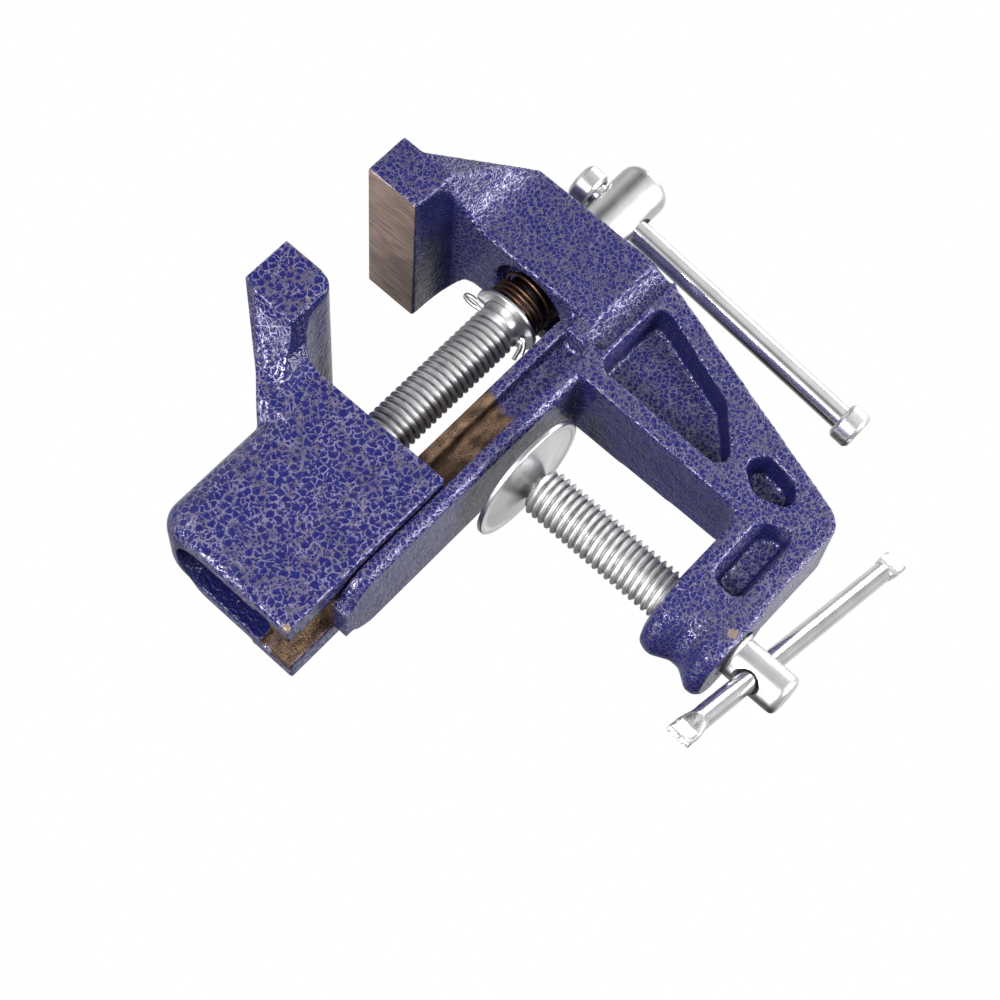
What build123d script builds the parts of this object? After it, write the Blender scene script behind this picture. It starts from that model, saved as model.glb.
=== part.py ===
from build123d import *
from math import cos, pi, radians, sin, sqrt
import os

# A small clamp-on table vise. Millimetres, +Z up, +X towards the screw's handle, Y across the jaws.
# The origin is where the clamp screw's axis meets the face that sits on the table top.

os.makedirs("parts", exist_ok=True)

# ---- driving dimensions -------------------------------------------------------------------------
jaw_width = 57.0            # both jaws, along Y
jaw_gap = 29.2              # opening shown
jaw_top = 74.0              # top of both jaws
jaw_bottom = 57.3           # lower edge of the fixed jaw's face
fixed_jaw_x = 25.2          # the fixed jaw's gripping face
fixed_jaw_depth = 13.4      # front to back at the top
frame_width = 28.4          # head, guide bar and top of the C, along Y
frame_foot_width = 22.4     # bottom of the C, along Y
head_front = 37.9           # face that the spindle enters
head_rear = 62.7
head_shoulder = 47.6        # where the slope behind the jaw meets the head's rear face
throat = 52.8               # clamp opening, table face down to the lower arm
arm_bottom = -73.0
bar_end = -61.2             # free end of the guide bar's rail
flange_end = -59.8          # and of its lower flange
flange_top = 4.4            # guide bar: lower flange
rail_bottom = 11.9          # guide bar: underside of the upper rail
rail_top = 15.3
rail_width = 22.8
web_width = 14.6            # between the two T slots
flange_corner = 11.0        # plan radius of the flange's free corners
flange_rim = 1.5            # and the bevel on its lower edge there
rail_corner = 5.0           # plan radius of the rail's free corners
slot_fill = 5.6             # the slots stop this far short of the head
screw_height = 28.8         # spindle axis above the table face
thread_major = 13.4         # both screws, outside the crests
thread_pitch = 2.0
fit = 0.05                  # running clearance on radius
gap = 0.3                   # clearance between pieces that don't run in each other

half_jaw = jaw_width / 2
half_frame = frame_width / 2
half_foot = frame_foot_width / 2
sliding_jaw_x = fixed_jaw_x - jaw_gap
thread_r = thread_major / 2


def save(shape, name):
    """Write one sub-part as its own file."""
    export_step(shape, f"parts/{name}.step")


def across(face, width):
    """Extrude a side profile to both sides of the middle plane."""
    return extrude(face, amount=width / 2, dir=(0, 1, 0), both=True)


def rod(start, axis, length, radius):
    """A round bar from start along axis."""
    return extrude(Plane(origin=start, z_dir=axis) * Circle(radius), amount=length)


def turned(outline):
    """Revolve an outline of (radius, height) pairs about Z."""
    return revolve(make_face(Plane.XZ * Polyline(*outline, close=True)), axis=Axis.Z)


def flared_front(half_low, half_high, z_low, z_start, z_high, z_top, bend, lean):
    """Front view of a casting that widens into its jaw by a concave arc and a straight slope."""
    arc_y = half_low + bend - bend * cos(radians(lean))
    arc_z = z_start + bend * sin(radians(lean))
    middle = radians(lean / 2)
    mid_y = half_low + bend - bend * cos(middle)
    mid_z = z_start + bend * sin(middle)
    edges = [Line((0, z_low), (half_low, z_low))]
    edges.append(Line((half_low, z_low), (half_low, z_start)))
    edges.append(ThreePointArc((half_low, z_start), (mid_y, mid_z), (arc_y, arc_z)))
    edges.append(Line((arc_y, arc_z), (half_high, z_high)))
    edges.append(Line((half_high, z_high), (half_high, z_top)))
    edges.append(Line((half_high, z_top), (0, z_top)))
    edges.append(Line((0, z_top), (0, z_low)))
    half = Plane.YZ * make_face(edges)
    return half + mirror(half, Plane.XZ)


def along(face, start, end):
    """Extrude a front view from one X to another."""
    return extrude(Pos(start, 0, 0) * face, amount=end - start, dir=(1, 0, 0))


# ---- fixed casting ------------------------------------------------------------------------------
jaw_back = fixed_jaw_x + fixed_jaw_depth
slope_top = 67.3            # where the slope leaves the jaw's back
throat_bend = 7.2           # concave corner under the fixed jaw
throat_rise = 0.3           # the throat's roof lies this far below the jaw's lower edge
bevel_top = 8.1             # lower edge of the head's sides
bevel_foot = 2.6
bevel_depth = 3.2
bore_r = 6.6                # plain bore for the spindle's shank
spring_bore_r = 11.0        # counterbore that takes the spring
spring_bore_depth = 6.0
outer_top = 61.9            # C frame's sloping back edge, at the top
outer_foot = 40.6           # and where it meets the rounded bottom corner
inner_x = 24.9              # C frame's inner face
boss_r = 13.7
waist_r = 11.6              # narrowest part of the boss
boss_foot = -73.7           # face that the clamp screw's head turns under
pocket_floor = 5.5          # half the web left between the pockets of the two sides
back_pocket = [(31.6, -2.2), (53.6, -2.2), (44.6, -30), (31.6, -43)]
heel_pocket = [(32.6, -52.2), (36.6, -46.6), (40.2, -48.8), (39.2, -57.2), (35.2, -59.4)]
arm_pocket = [(9, -59.8), (25.2, -59.2), (28, -65), (9, -65.4)]
pocket_bend = 2.2           # floor corners of the large pocket
pocket_cut = 1.0            # and of the two small ones
back_draft = 9.0            # degrees that the pockets' walls lean outwards
heel_draft = 14.0
arm_draft = 20.0


def head_and_jaw():
    """The upright head with its wedge-backed jaw: side view, front view and plan together."""
    corner_x = head_front - throat_bend
    corner_z = jaw_bottom - throat_rise - throat_bend
    turn = throat_bend * cos(radians(45))
    lines = [Line((head_front, 0), (head_front, corner_z))]
    middle = (corner_x + turn, corner_z + turn)
    lines.append(ThreePointArc((head_front, corner_z), middle, (corner_x, corner_z + throat_bend)))
    lines.append(Line((corner_x, corner_z + throat_bend), (fixed_jaw_x, jaw_bottom)))
    lines.append(Line((fixed_jaw_x, jaw_bottom), (fixed_jaw_x, jaw_top)))
    lines.append(Line((fixed_jaw_x, jaw_top), (jaw_back, jaw_top)))
    lines.append(Line((jaw_back, jaw_top), (jaw_back, slope_top)))
    lines.append(Line((jaw_back, slope_top), (head_rear, head_shoulder)))
    lines.append(Line((head_rear, head_shoulder), (head_rear, 0)))
    lines.append(Line((head_rear, 0), (head_front, 0)))
    side = across(Plane.XZ * make_face(lines), jaw_width)
    front = flared_front(half_frame, half_jaw, 0, 44.3, jaw_bottom, jaw_top, 8.6, 59)
    plan = [(fixed_jaw_x, -half_jaw), (jaw_back, -half_jaw), (head_rear, -half_frame)]
    plan += [(head_rear, half_frame), (jaw_back, half_jaw), (fixed_jaw_x, half_jaw)]
    above = extrude(make_face(Polyline(*plan, close=True)), amount=jaw_top)
    return side & along(front, fixed_jaw_x, head_rear) & above


def guide_bar():
    """Lower flange, web and upper rail, in one piece with the head."""
    length = head_front - bar_end
    middle = (head_front + bar_end) / 2
    web = Pos(middle, 0, rail_top / 2) * Box(length - 2, web_width, rail_top)
    plan = Pos((head_front + flange_end) / 2, 0) * Rectangle(head_front - flange_end, frame_width)
    ends = [v for v in plan.vertices() if v.X < 0]
    flange = extrude(fillet(ends, flange_corner), amount=flange_top)
    lower = [e for e in flange.edges() if e.center().Z < 0.1]
    lower_rim = [e for e in lower if e.center().X < flange_end + flange_corner]
    flange = chamfer(lower_rim, flange_rim)
    rail_plan = Pos(middle, 0) * Rectangle(length, rail_width)
    rail_ends = [v for v in rail_plan.vertices() if v.X < 0]
    rail = Pos(0, 0, rail_bottom) * extrude(fillet(rail_ends, rail_corner), amount=rail_top - rail_bottom)
    slot_end = Pos(head_front, 0, rail_bottom / 2) * Box(2 * slot_fill, frame_width - 1, rail_bottom)
    return flange + web + rail + slot_end


def c_frame():
    """The C that hangs below the table face, narrowing towards its foot."""
    corners = [(inner_x, 2), (inner_x, -throat), (0, -throat), (0, arm_bottom)]
    corners += [(outer_foot - 2, arm_bottom), (outer_foot + 1, -69), (outer_top, 2)]
    face = make_face(Polyline(*corners, close=True))
    inner = [v for v in face.vertices() if abs(v.X - inner_x) < 0.1 and v.Y < -1]
    face = fillet(inner, 4)
    heel = [v for v in face.vertices() if v.X > outer_foot - 5 and v.Y < -60]
    face = fillet(heel, 5)
    side = across(Plane.XZ * face, frame_width)
    taper = [(-half_frame, 2), (half_frame, 2), (half_foot, arm_bottom), (-half_foot, arm_bottom)]
    front = make_face(Plane.YZ * Polyline(*taper, close=True))
    return side & along(front, -1, outer_top + 1)


def clamp_boss():
    """Waisted round boss at the end of the lower arm."""
    outline = [(0, -throat), (10, -throat), (boss_r - 0.8, -54), (boss_r, -56.2), (boss_r, -58)]
    outline += [(waist_r, -62.6), (waist_r, -65.6), (boss_r + 0.9, -70), (boss_r + 0.7, -72.2)]
    outline += [(boss_r - 0.6, boss_foot), (0, boss_foot)]
    slab = Pos(-4, 0, -64) * Box(2 * boss_r + 4, frame_foot_width + 0.4, 24)
    return turned(outline) & slab


def pocket(outline, draft):
    """A cast pocket on both sides of the C, widening outwards from its floor."""
    mouth = half_frame + 1 - pocket_floor
    near = extrude(Plane.XZ.offset(pocket_floor) * outline, amount=mouth, taper=-draft)
    return near + mirror(near, Plane.XZ)


def head_grooves():
    """The bevels that part the head's sides from the C below."""
    points = [(half_frame - bevel_depth, bevel_foot), (half_frame + 1, bevel_top + 1.9)]
    points += [(half_frame + 1, 0.3), (half_frame - bevel_depth, 1.5)]
    near = Plane.YZ * make_face(Polyline(*points, close=True))
    cut = along(near, head_front - 4, head_rear + 1)
    return cut + mirror(cut, Plane.XZ)


def frame_casting():
    """Fixed jaw, head, guide bar and clamp frame, cast in one piece."""
    body = head_and_jaw() + guide_bar() + c_frame() + clamp_boss()
    body -= head_grooves()
    back = make_face(Polyline(*back_pocket, close=True))
    body -= pocket(fillet(back.vertices(), pocket_bend), back_draft)
    heel = make_face(Polyline(*heel_pocket, close=True))
    body -= pocket(chamfer(heel.vertices(), pocket_cut), heel_draft)
    arm = make_face(Polyline(*arm_pocket, close=True))
    body -= pocket(chamfer(arm.vertices(), pocket_cut), arm_draft)
    shaft = Plane(origin=(head_front - 1, 0, screw_height), z_dir=(1, 0, 0))
    body -= extrude(shaft * Circle(bore_r), amount=head_rear - head_front + 2)
    body -= extrude(shaft * Circle(spring_bore_r), amount=spring_bore_depth + 1)
    body -= rod((0, 0, arm_bottom - 2), (0, 0, 1), 24, thread_r + fit)
    return body


# ---- sliding jaw --------------------------------------------------------------------------------
body_front = -20.1          # face that the spindle enters
body_rear = -74.9
body_half = 16.5            # half the width of the lower part
body_step = 0.5             # the upper part is this much narrower on each side
step_height = 18.1
body_bottom = 4.8
body_top = 50.4
shoulder_r = 9.5            # rounded upper edges
rear_r = 7.0                # and the rounding down to the rear face
hollow_half = 10.0
hollow_top = 43.4
lip_half = 8.2              # the lips reach in this far under the rail
lip_top = 11.4
nut_wall = 18.0             # solid wall that carries the spindle's thread
sliding_depth = 14.5        # thickness of the sliding jaw
neck_back = -39.4           # foot of the slope behind the sliding jaw
neck_side = -34.8           # the neck's sides start here, its rear corners are rounded off before
neck_ridge = 8.8            # half the width left between the rounded corners
nose_r = 5.0                # lower edge of the sliding jaw
nose_bottom = 56.4
under_r = 8.5               # concave corner between the jaw's underside and the neck


def sliding_body():
    """Inverted-U body that runs on the rail, with a thick threaded front wall."""
    upper_half = body_half - body_step
    square = Pos(0, (body_bottom + body_top) / 2) * Rectangle(2 * upper_half, body_top - body_bottom)
    top = [v for v in square.vertices() if v.Y > step_height]
    outer = Plane.YZ * fillet(top, shoulder_r)
    body = along(outer, body_rear, neck_side)
    body += along(Plane.YZ * square, neck_side, body_front)
    rear_top = [e for e in body.edges() if e.center().X < body_rear + 0.1 and e.center().Z > body_top - 0.1]
    body = fillet(rear_top, rear_r)
    height = step_height - body_bottom
    skirt = Pos((body_front + body_rear) / 2, 0, body_bottom + height / 2)
    body += skirt * Box(body_front - body_rear, 2 * body_half, height)
    return body


def neck_and_jaw():
    """Leaning neck that carries the sliding jaw, scooped at its sides and back."""
    grip = sliding_jaw_x
    back = grip - sliding_depth
    crease = body_top + back - neck_back
    points = [(neck_back, 30), (neck_back, body_top), (back, crease), (back, jaw_top)]
    points += [(grip, jaw_top), (grip, nose_bottom), (body_front, nose_bottom), (body_front, 30)]
    face = make_face(Polyline(*points, close=True))
    low = [v for v in face.vertices() if abs(v.Y - nose_bottom) < 0.1]
    nose = [v for v in low if abs(v.X - grip) < 0.1]
    face = fillet(nose, nose_r)
    inner = [v for v in face.vertices() if abs(v.Y - nose_bottom) < 0.1 and abs(v.X - body_front) < 0.1]
    side = across(Plane.XZ * fillet(inner, under_r), jaw_width)
    upper_half = body_half - body_step
    front = flared_front(upper_half, half_jaw, 30, 47, 57.2, jaw_top, 8.6, 57)
    lines = [Line((neck_back, 0), (neck_back, neck_ridge))]
    lines.append(ThreePointArc((neck_back, neck_ridge), (neck_back + 1.3, 13.2), (neck_side, upper_half)))
    lines.append(Line((neck_side, upper_half), (back - 13, upper_half)))
    lines.append(ThreePointArc((back - 13, upper_half), (back - 6.5, 19.4), (back - 1, half_jaw)))
    lines.append(Line((back - 1, half_jaw), (grip, half_jaw)))
    lines.append(Line((grip, half_jaw), (grip, 0)))
    lines.append(Line((grip, 0), (neck_back, 0)))
    half_plan = make_face(lines)
    above = extrude(half_plan + mirror(half_plan, Plane.XZ), amount=jaw_top)
    return side & along(front, neck_back, grip) & above


def sliding_jaw():
    """The moving casting: body, neck and jaw."""
    casting = sliding_body() + neck_and_jaw()
    hollow_length = body_front - nut_wall - body_rear
    straight = hollow_top - hollow_half
    hollow = Pos(0, straight / 2) * Rectangle(2 * hollow_half, straight)
    hollow += Pos(0, straight) * Circle(hollow_half)
    channel = along(Plane.YZ * hollow, body_rear, body_rear + hollow_length)
    rail_half = rail_width / 2 + gap
    slot = Pos(0, (lip_top + rail_top + gap) / 2) * Rectangle(2 * rail_half, rail_top + gap - lip_top)
    slot += Pos(0, lip_top / 2) * Rectangle(2 * lip_half, lip_top + 1)
    casting -= channel & (Pos(0, 0, rail_top + 40) * Box(400, 60, 80))
    casting -= along(Plane.YZ * slot, body_rear - 1, body_front + 1)
    casting -= rod((body_rear, 0, screw_height), (1, 0, 0), body_front - body_rear + 1, thread_r + fit)
    return casting


# ---- spindle ------------------------------------------------------------------------------------
spindle_end = -44.0         # free end, inside the sliding jaw
thread_stop = 24.9          # the thread runs out here, before the pin
shank_r = 6.5
head_r = 7.45
head_end = 86.9
crown_bevel = 1.8
pin_x = 27.8
pin_r = 1.2
pin_reach = 8.4             # the pin stands out this far from the spindle's axis
eye_height = 5.6            # the pin's eye
eye_width = 2.7
eye_thickness = 1.6
eye_wire = 1.0              # metal left round the eye's slot
leg_r = 0.6                 # the pin's two spread legs
leg_sides = 6
washer_x = 29.3
washer_thickness = 1.2
washer_r = 10.0
handle_x = 74.2
handle_lean = 8.0           # the handle is shown turned this far about the spindle
handle_r = 3.4
knob_r = 5.4
knob_length = 6.2
knob_bevel = 1.1
knob_upper = 7.8            # from the spindle's axis to the upper knob's inner face
knob_lower = 80.4           # and down to the lower knob's inner face
stub = 3.0                  # rod end that each knob is pressed on

handle_dir = (0, -sin(radians(handle_lean)), cos(radians(handle_lean)))


def on_handle(distance):
    """A point on the handle's axis, measured from the spindle's axis."""
    return (handle_x, handle_dir[1] * distance, screw_height + handle_dir[2] * distance)


def main_screw():
    """Threaded spindle with a plain shank and a drilled round head."""
    start = (spindle_end, 0, screw_height)
    screw = rod(start, (1, 0, 0), thread_stop - spindle_end, thread_r)
    tip = [e for e in screw.edges() if e.center().X < spindle_end + 0.1]
    screw = chamfer(tip, 0.6 * thread_pitch)
    screw += rod((thread_stop, 0, screw_height), (1, 0, 0), head_rear - thread_stop, shank_r)
    head = rod((head_rear + 0.1, 0, screw_height), (1, 0, 0), head_end - head_rear - 0.1, head_r)
    crown = [e for e in head.edges() if e.center().X > head_end - 0.1]
    screw += chamfer(crown, crown_bevel)
    screw += rod((head_rear - 1, 0, screw_height), (1, 0, 0), 2, shank_r)
    screw -= rod(on_handle(-12), handle_dir, 24, handle_r + gap)
    screw -= rod((pin_x, 0, screw_height - 12), (0, 0, 1), 24, pin_r + fit)
    return screw


def spindle_washer():
    """Plain washer between the split pin and the spring."""
    ring = rod((washer_x, 0, screw_height), (1, 0, 0), washer_thickness, washer_r)
    return ring - rod((washer_x - 1, 0, screw_height), (1, 0, 0), washer_thickness + 2, shank_r + 0.2)


def split_pin():
    """Split pin through the spindle: eye above, two spread legs below."""
    straight = rod((pin_x, 0, screw_height - pin_reach), (0, 0, 1), 2 * pin_reach, pin_r)
    eye_plane = Plane.XZ * Pos(pin_x, screw_height + pin_reach + 1.8)
    ring = SlotOverall(eye_height, eye_width, rotation=90)
    ring -= SlotOverall(eye_height - 2 * eye_wire, eye_width - 2 * eye_wire, rotation=90)
    pin = straight + extrude(eye_plane * ring, amount=eye_thickness / 2, both=True)
    for leg, length in ((-1, 5.2), (-0.35, 2.6)):
        foot = (pin_x - 0.4, leg * 0.5, screw_height - pin_reach + 0.4)
        section = Plane(origin=foot, z_dir=(leg, 0.3, -0.25)) * RegularPolygon(leg_r, leg_sides)
        pin += extrude(section, amount=length)
    return pin


# ---- spring -------------------------------------------------------------------------------------
wire_r = 0.5
wire_sides = 5
spring_r = 8.1              # to the middle of the wire
spring_start = washer_x + washer_thickness + wire_r + 0.05
close_turns = 3             # turns bunched against the washer
close_pitch = 1.5
open_turns = 2              # turns that run into the head's counterbore
spring_end = head_front + spring_bore_depth - gap - wire_r
open_pitch = (spring_end - spring_start - close_pitch * close_turns) / open_turns


def spring_x(turn):
    """Where the wire has got to along the spindle after so many turns."""
    close = min(turn, close_turns)
    return spring_start + close_pitch * close + open_pitch * max(turn - close_turns, 0)


def spring_point(turn):
    angle = 2 * pi * turn
    return Vector(spring_x(turn), spring_r * sin(angle), screw_height + spring_r * cos(angle))


def spring_tangent(turn):
    pitch = close_pitch if turn < close_turns else open_pitch
    if turn == close_turns:
        pitch = (close_pitch + open_pitch) / 2
    angle = 2 * pi * turn
    turning = 2 * pi * spring_r
    return Vector(pitch, turning * cos(angle), -turning * sin(angle)).normalized()


def biarc(start, start_dir, end, end_dir):
    """Two tangent arcs between two points with given directions."""
    chord = end - start
    both = start_dir + end_dir
    a = 2 * (start_dir.dot(end_dir) - 1)
    b = -2 * chord.dot(both)
    c = chord.dot(chord)
    reach = (-b - sqrt(b * b - 4 * a * c)) / (2 * a)
    join = (start + start_dir * reach + end - end_dir * reach) * 0.5
    first = Edge.make_tangent_arc(start, start_dir, join)
    second = Edge.make_tangent_arc(join, first % 1, end)
    return [first, second]


def spring_path():
    """The middle of the wire: two tangent arcs for each quarter turn."""
    edges = []
    for step in range(4 * (close_turns + open_turns)):
        start = step / 4
        end = (step + 1) / 4
        edges += biarc(spring_point(start), spring_tangent(start), spring_point(end), spring_tangent(end))
    return edges


def spindle_spring():
    """Compression spring round the shank, one unbroken wire."""
    path = Wire(spring_path())
    section = Plane(origin=path @ 0, z_dir=path % 0) * RegularPolygon(wire_r, wire_sides)
    return sweep(section, path=path)


def spring_clearance():
    """Least gap between turns of the wire, measured on points along its path."""
    points = [edge @ (n / 6) for edge in spring_path() for n in range(6)]
    count = len(points)
    least = min((points[n] - points[m]).length for n in range(count) for m in range(n + 24, count))
    return least - 2 * wire_r


# ---- handle -------------------------------------------------------------------------------------
def handle_rod():
    """Sliding bar of the spindle."""
    length = knob_upper + knob_lower + 2 * stub
    return rod(on_handle(-knob_lower - stub), handle_dir, length, handle_r)


def handle_knob(inner, outward):
    """Turned cap pressed on one end of the handle bar."""
    axis = tuple(outward * part for part in handle_dir)
    knob = rod(on_handle(outward * inner), axis, knob_length, knob_r)
    end = on_handle(outward * (inner + knob_length))
    rim = [e for e in knob.edges().filter_by(GeomType.CIRCLE) if (e.arc_center - Vector(end)).length < 0.1]
    knob = chamfer(rim, knob_bevel)
    return knob - rod(on_handle(outward * (inner - 1)), axis, stub + 1, handle_r)


# ---- table clamp --------------------------------------------------------------------------------
pad_top = -4.6
pad_r = 18.1
pad_rim = 1.4
neck_r = 3.6
screw_top = -9.5
spigot_r = 2.2
spigot_top = -6.2
clamp_head_top = -75.2
clamp_head_end = -90.5
clamp_head_r = 5.7
clamp_bar_z = -81.0
clamp_bar_r = 2.8
clamp_bar_turn = 31.0       # about Z, far end away from -Y
clamp_bar_tilt = 2.3        # the bar hangs a little in its hole
clamp_bar_near = 37.2       # from the screw's axis to each end of the bar
clamp_bar_far = 76.0
spade_length = 9.5
spade_width = 7.0
spade_thickness = 2.4
spade_corner = 0.6
bar_flats = 1.8 * clamp_bar_r   # the round bar's section with eight flats

tilt = radians(clamp_bar_tilt)
turn = radians(clamp_bar_turn)
clamp_bar_dir = (cos(tilt) * cos(turn), cos(tilt) * sin(turn), -sin(tilt))


def clamp_screw():
    """Clamp screw with a drilled head below and a spigot for the pad above."""
    screw = rod((0, 0, clamp_head_top), (0, 0, 1), screw_top - clamp_head_top, thread_r)
    screw = chamfer([e for e in screw.edges() if e.center().Z > screw_top - 0.1], 0.8)
    head = rod((0, 0, clamp_head_end), (0, 0, 1), clamp_head_top - clamp_head_end, clamp_head_r)
    screw += chamfer([e for e in head.edges() if e.center().Z < clamp_head_end + 0.1], 1.6)
    screw += rod((0, 0, screw_top), (0, 0, 1), spigot_top - screw_top, spigot_r)
    hole_start = tuple(-10 * part for part in clamp_bar_dir)
    hole_start = (hole_start[0], hole_start[1], hole_start[2] + clamp_bar_z)
    return screw - rod(hole_start, clamp_bar_dir, 20, clamp_bar_r + gap)


def clamp_pad():
    """Round swivel pad with a flared neck below."""
    rim = pad_top - pad_rim
    foot = screw_top + gap
    outline = [(0, pad_top), (pad_r, pad_top), (pad_r, rim), (neck_r + 3.2, rim)]
    outline += [(neck_r, foot), (0, foot)]
    pad = turned(outline)
    return pad - rod((0, 0, foot - 1), (0, 0, 1), spigot_top + gap - foot + 1, spigot_r + fit)


def eight_sided(thickness, width, corner):
    """An oblong section with cut corners."""
    return chamfer(Rectangle(thickness, width).vertices(), corner)


def clamp_bar():
    """Bar through the clamp screw's head, hammered flat at both ends."""
    here = Plane(origin=(0, 0, clamp_bar_z), x_dir=(-sin(turn), cos(turn), 0), z_dir=clamp_bar_dir)
    straight = clamp_bar_near + clamp_bar_far - 2 * spade_length
    bar = here.offset(spade_length - clamp_bar_near) * Circle(clamp_bar_r)
    bar = extrude(bar, amount=straight)
    for inner, outer in ((spade_length - clamp_bar_near, -clamp_bar_near),
                         (clamp_bar_far - spade_length, clamp_bar_far)):
        middle = inner + 0.45 * (outer - inner)
        round_end = here.offset(inner) * eight_sided(bar_flats, bar_flats, 0.293 * bar_flats)
        flat = eight_sided(spade_thickness, spade_width, spade_corner)
        bar += loft([round_end, here.offset(middle) * flat], ruled=True)
        bar += loft([here.offset(middle) * flat, here.offset(outer) * flat], ruled=True)
    return bar


save(frame_casting(), "frame_casting")
save(sliding_jaw(), "sliding_jaw")
save(main_screw(), "main_screw")
save(spindle_washer(), "spindle_washer")
save(split_pin(), "split_pin")
save(spindle_spring(), "spindle_spring")
save(handle_rod(), "handle_rod")
save(handle_knob(knob_upper, 1), "handle_knob_upper")
save(handle_knob(knob_lower, -1), "handle_knob_lower")
save(clamp_screw(), "clamp_screw")
save(clamp_pad(), "clamp_pad")
save(clamp_bar(), "clamp_bar")

print("least gap between the spring's turns", round(spring_clearance(), 2), "mm")
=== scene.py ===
from math import ceil, cos, hypot, pi, radians, sin

import bmesh
import bpy
from bpy.props import FloatProperty, FloatVectorProperty, IntProperty, PointerProperty
from bpy.types import Operator, Panel, PropertyGroup
from mathutils import Matrix, Vector, noise


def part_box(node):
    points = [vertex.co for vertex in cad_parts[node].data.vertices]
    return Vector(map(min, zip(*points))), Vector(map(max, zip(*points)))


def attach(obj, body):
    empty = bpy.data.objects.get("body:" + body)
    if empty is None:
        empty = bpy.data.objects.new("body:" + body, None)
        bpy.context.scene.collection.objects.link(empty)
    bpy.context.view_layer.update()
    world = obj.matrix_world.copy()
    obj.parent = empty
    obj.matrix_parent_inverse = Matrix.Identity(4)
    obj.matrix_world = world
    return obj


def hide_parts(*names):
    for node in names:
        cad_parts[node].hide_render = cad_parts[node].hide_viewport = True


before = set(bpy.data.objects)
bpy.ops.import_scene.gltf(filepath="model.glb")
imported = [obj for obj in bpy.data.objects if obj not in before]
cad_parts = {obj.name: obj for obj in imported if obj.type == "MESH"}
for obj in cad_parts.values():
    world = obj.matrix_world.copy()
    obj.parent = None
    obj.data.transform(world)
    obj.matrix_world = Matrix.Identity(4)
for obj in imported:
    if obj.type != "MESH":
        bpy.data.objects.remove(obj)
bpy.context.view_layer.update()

bl_info = {
    "name": "Table Vise",
    "version": (1, 0, 0),
    "blender": (4, 5, 0),
    "location": "3D View > Sidebar > Table Vise",
    "description": "Dresses a small clamp-on table vise: hammer-enamelled castings and plated screws",
    "category": "Object",
}

MM = 0.001


def box_mm(node):
    """Lowest and highest corner of a solid, in millimetres."""
    low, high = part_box(node)
    return Vector(low) / MM, Vector(high) / MM


# ---- places, in millimetres in the part's own frame ----
ORIGIN = (0, 0, 0)          # where the clamp screw's axis meets the table face
AHEAD = (1, 0, 0)
UP = (0, 0, 1)
SCREW_Z = 28.8              # spindle axis above the table face
SPINDLE_CENTRE = (0, 0, SCREW_Z)
SPINDLE_END = box_mm("main_screw")[0].x
THREAD_STOP = 26.3          # where the spindle's thread ends and its plain shank begins
HEAD_REAR = 62.7            # end of the shank, where the drilled head begins
HEAD_END = box_mm("main_screw")[1].x
PIN_X = 27.8                # axis of the split pin
JAW_FACE_X = 25.2           # gripping face of the fixed jaw
SLIDING_FACE_X = -4.0       # gripping face of the sliding jaw
JAW_FACE_FOOT = 57.3        # lower edge of the fixed jaw's face
SLIDING_FACE_FOOT = 61.4    # and of the sliding jaw's, above its rounded nose
RAIL_TOP = 15.3
BODY_REAR = box_mm("sliding_jaw")[0].x
BODY_FRONT = -20.1          # face of the sliding body that the spindle enters
BODY_HALF = 16.0            # half the sliding body's width above its step
STEP_Z = 18.1               # top of that step
STEP_DEPTH = 0.5            # how much wider the body is below it, on each side
SHOULDER_Z = 40.9           # foot of the body's rounded shoulders
REAR_ROUND = 7.0            # radius of the body's upright rear edges
HANDLE_X = 74.2             # axis of the handle along the spindle
HANDLE_CENTRE = (HANDLE_X, 0, SCREW_Z)
HANDLE_UPPER = 7.8          # inner ends of the knobs, along the handle from its centre
HANDLE_LOWER = -80.4
HANDLE_STUB = 2.0           # how far the handle's bar reaches into each knob
HANDLE_LEAN = radians(8.0)  # from upright, towards -Y
HANDLE_AXIS = Vector((0, -sin(HANDLE_LEAN), cos(HANDLE_LEAN)))
BAR_Z = -81.0               # where the clamp bar's axis meets the clamp screw's
BAR_CENTRE = Vector((0, 0, BAR_Z))
BAR_NEAR = -37.2            # ends of the clamp bar, along it from there
BAR_FAR = 76.0
BAR_TURN = radians(31.0)    # about Z
BAR_TILT = radians(2.3)     # below level
BAR_AXIS = Vector((cos(BAR_TILT) * cos(BAR_TURN), cos(BAR_TILT) * sin(BAR_TURN), -sin(BAR_TILT)))
CLAMP_HEAD_TOP = -75.2      # end of the clamp screw's thread, where its drilled head begins
CLAMP_HEAD_END = box_mm("clamp_screw")[0].z
SCREW_TOP = -9.5            # other end of its thread
SPIGOT_TOP = -6.2           # end of the spigot that carries the pad
SPIGOT_RADIUS = 2.2
DRILL_REACH = 12            # half the length of the drills for the cross bores


# ---- sizes and colours that a user would change ----
def length(name, description, default):
    """A length in metres, given in millimetres."""
    return FloatProperty(name=name, description=description, default=default * MM,
                         unit="LENGTH", subtype="DISTANCE")


def power(name, description, default):
    """How bright a light or a surface is."""
    return FloatProperty(name=name, description=description, default=default)


def colour(name, description, default):
    """A linear colour."""
    return FloatVectorProperty(name=name, description=description, default=default,
                               size=3, min=0, max=1, subtype="COLOR")


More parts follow.
